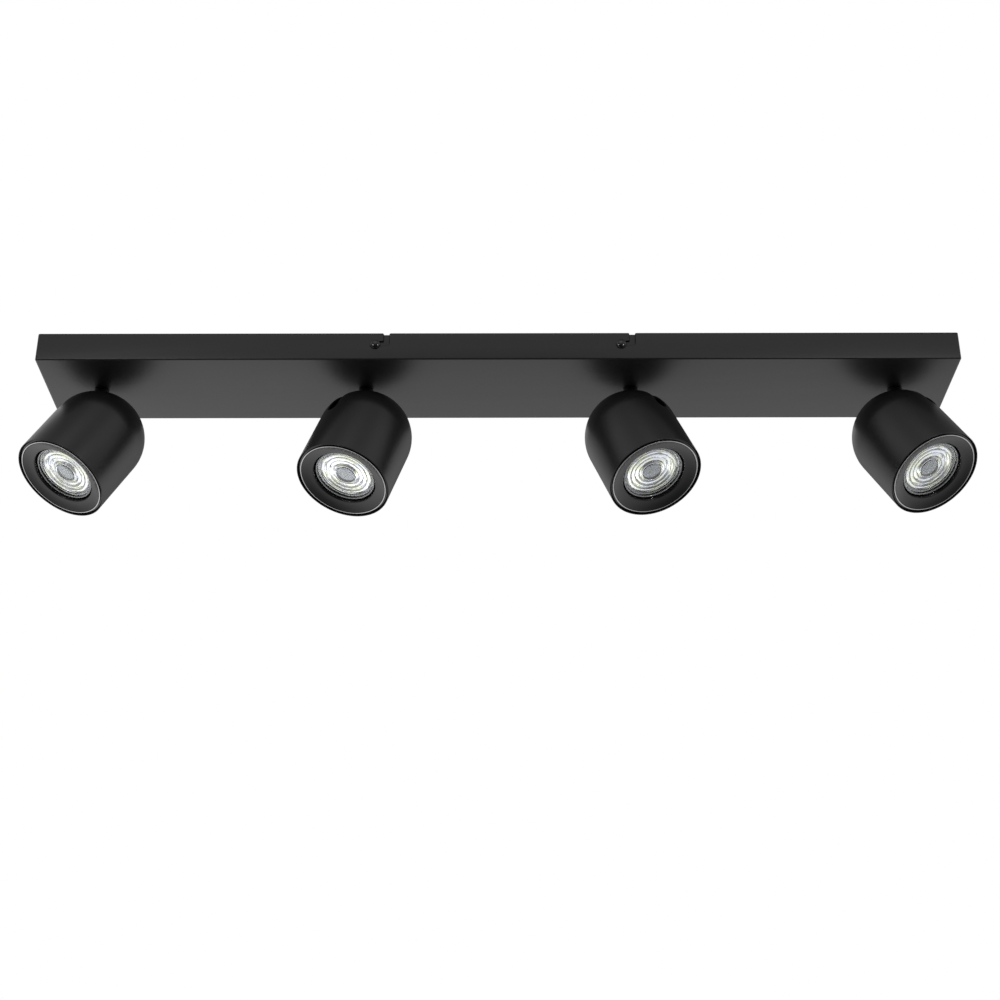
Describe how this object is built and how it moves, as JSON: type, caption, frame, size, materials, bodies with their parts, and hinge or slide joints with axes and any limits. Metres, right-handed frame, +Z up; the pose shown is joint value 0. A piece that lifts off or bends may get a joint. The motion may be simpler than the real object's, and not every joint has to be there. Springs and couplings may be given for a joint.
{
  "type": "ceiling spotlight bar",
  "caption": "Long shallow ceiling canopy carrying a row of round-backed cylindrical spot heads that swivel on hollow stems and tilt along a slot, each with a twist-lock reflector lamp.",
  "frame": {"origin": "centre of the bracket's flat top, in the plane of the ceiling", "axes": "+X along the bar to the right, +Y to the back wall of the canopy, +Z up into the ceiling"},
  "size_m": [0.7715, 0.1071, 0.1364],
  "materials": {
    "canopy_paint": "fine matte black powder coat on folded steel sheet",
    "head_paint": "fine matte black powder coat on drawn steel",
    "bezel_paint": "satin black powder coat",
    "black_chrome": "gloss black plating",
    "zinc_steel": "dull zinc-plated steel",
    "white_nylon": "matte natural nylon",
    "black_rubber": "matte black rubber",
    "lamp_ceramic": "unglazed ceramic",
    "lamp_glass": "pressed glass, silvered inside",
    "lamp_lens": "clear ribbed lens"
  },
  "bodies": {
    "ceiling_unit": {"canopy": "canopy_paint", "mounting_bracket": "canopy_paint", "terminal_block": "white_nylon", "earth_stud": "zinc_steel", "cable_grommet": "black_rubber", "side_screw_front_left": "black_chrome", "side_screw_front_right": "black_chrome", "side_screw_back_left": "black_chrome", "side_screw_back_right": "black_chrome"},
    "swivel_1": {"stem_1": "zinc_steel", "stem_nut_1": "zinc_steel", "collar_1": "black_chrome", "saddle_1": "white_nylon", "saddle_nut_1": "zinc_steel"},
    "head_1": {"housing_1": "head_paint", "bezel_1": "bezel_paint", "lamp_carrier_1": "zinc_steel", "lamp_holder_1": "lamp_ceramic", "lamp_base_1": "lamp_ceramic", "lamp_body_1": "lamp_glass", "lamp_lens_1": "lamp_lens"},
    "swivel_2": {"stem_2": "zinc_steel", "stem_nut_2": "zinc_steel", "collar_2": "black_chrome", "saddle_2": "white_nylon", "saddle_nut_2": "zinc_steel"},
    "head_2": {"housing_2": "head_paint", "bezel_2": "bezel_paint", "lamp_carrier_2": "zinc_steel", "lamp_holder_2": "lamp_ceramic", "lamp_base_2": "lamp_ceramic", "lamp_body_2": "lamp_glass", "lamp_lens_2": "lamp_lens"},
    "swivel_3": {"stem_3": "zinc_steel", "stem_nut_3": "zinc_steel", "collar_3": "black_chrome", "saddle_3": "white_nylon", "saddle_nut_3": "zinc_steel"},
    "head_3": {"housing_3": "head_paint", "bezel_3": "bezel_paint", "lamp_carrier_3": "zinc_steel", "lamp_holder_3": "lamp_ceramic", "lamp_base_3": "lamp_ceramic", "lamp_body_3": "lamp_glass", "lamp_lens_3": "lamp_lens"},
    "swivel_4": {"stem_4": "zinc_steel", "stem_nut_4": "zinc_steel", "collar_4": "black_chrome", "saddle_4": "white_nylon", "saddle_nut_4": "zinc_steel"},
    "head_4": {"housing_4": "head_paint", "bezel_4": "bezel_paint", "lamp_carrier_4": "zinc_steel", "lamp_holder_4": "lamp_ceramic", "lamp_base_4": "lamp_ceramic", "lamp_body_4": "lamp_glass", "lamp_lens_4": "lamp_lens"}
  },
  "joints": [
    {"name": "swivel_1", "type": "hinge", "parent": "ceiling_unit", "child": "swivel_1", "pos_m": [-0.33, 0, -0.025], "axis": [0, 0, 1], "range_deg": [-117, 221]},
    {"name": "tilt_1", "type": "hinge", "parent": "swivel_1", "child": "head_1", "pos_m": [-0.33, 0, -0.0708], "axis": [-0.6157, 0.788, 0], "range_deg": [-29.9, 60.1]},
    {"name": "swivel_2", "type": "hinge", "parent": "ceiling_unit", "child": "swivel_2", "pos_m": [-0.11, 0, -0.025], "axis": [0, 0, 1], "range_deg": [-125.8, 212.2]},
    {"name": "tilt_2", "type": "hinge", "parent": "swivel_2", "child": "head_2", "pos_m": [-0.11, 0, -0.0708], "axis": [-0.729, 0.6845, 0], "range_deg": [-24, 66]},
    {"name": "swivel_3", "type": "hinge", "parent": "ceiling_unit", "child": "swivel_3", "pos_m": [0.11, 0, -0.025], "axis": [0, 0, 1], "range_deg": [-209.5, 128.5]},
    {"name": "tilt_3", "type": "hinge", "parent": "swivel_3", "child": "head_3", "pos_m": [0.11, 0, -0.0708], "axis": [-0.7604, -0.6494, 0], "range_deg": [-27.4, 62.6]},
    {"name": "swivel_4", "type": "hinge", "parent": "ceiling_unit", "child": "swivel_4", "pos_m": [0.33, 0, -0.025], "axis": [0, 0, 1], "range_deg": [-210.7, 127.3]},
    {"name": "tilt_4", "type": "hinge", "parent": "swivel_4", "child": "head_4", "pos_m": [0.33, 0, -0.0708], "axis": [-0.7466, -0.6652, 0], "range_deg": [-31.9, 58.1]}
  ]
}
